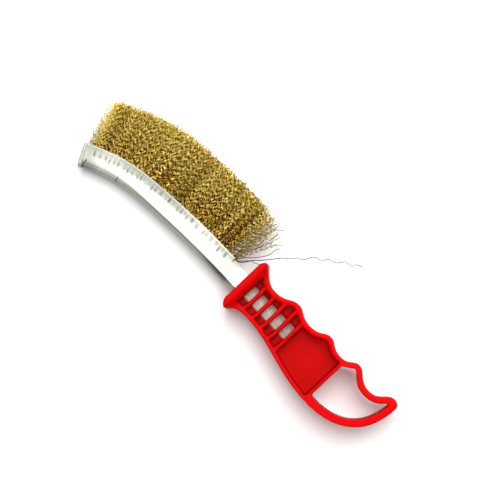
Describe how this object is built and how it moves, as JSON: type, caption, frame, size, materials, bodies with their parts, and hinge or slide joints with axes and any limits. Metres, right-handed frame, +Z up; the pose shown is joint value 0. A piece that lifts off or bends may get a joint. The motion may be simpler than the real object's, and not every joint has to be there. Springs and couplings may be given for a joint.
{
  "type": "wire brush",
  "caption": "Hand wire brush: curved folded steel strip clamping brass-coated crimped wires, held in a moulded open-frame handle with finger grooves and a hanging eye.",
  "frame": {"origin": "under the middle of the brush's overall box, on the surface that it lies on", "axes": "+X from the brush tip to the tail of the handle, +Y the way the wires point, +Z up, across the thickness of the brush"},
  "size_m": [0.2347, 0.0772, 0.024],
  "materials": {
    "red_plastic": "satin moulded polypropylene",
    "strip_steel": "bright zinc-plated sheet",
    "core_steel": "bare drawn wire",
    "brass_wire": "brass-coated crimped steel wire"
  },
  "bodies": {
    "root": {"handle": "red_plastic", "channel_strip": "strip_steel", "core_wire": "core_steel", "wire_bundle_01": "brass_wire", "wire_bundle_02": "brass_wire", "wire_bundle_03": "brass_wire", "wire_bundle_04": "brass_wire", "wire_bundle_05": "brass_wire", "wire_bundle_06": "brass_wire", "wire_bundle_07": "brass_wire", "wire_bundle_08": "brass_wire", "wire_bundle_09": "brass_wire", "wire_bundle_10": "brass_wire", "wire_bundle_11": "brass_wire", "wire_bundle_12": "brass_wire", "wire_bundle_13": "brass_wire", "wire_bundle_14": "brass_wire", "heel_wires": "brass_wire", "loose_wire": "brass_wire"}
  },
  "joints": []
}
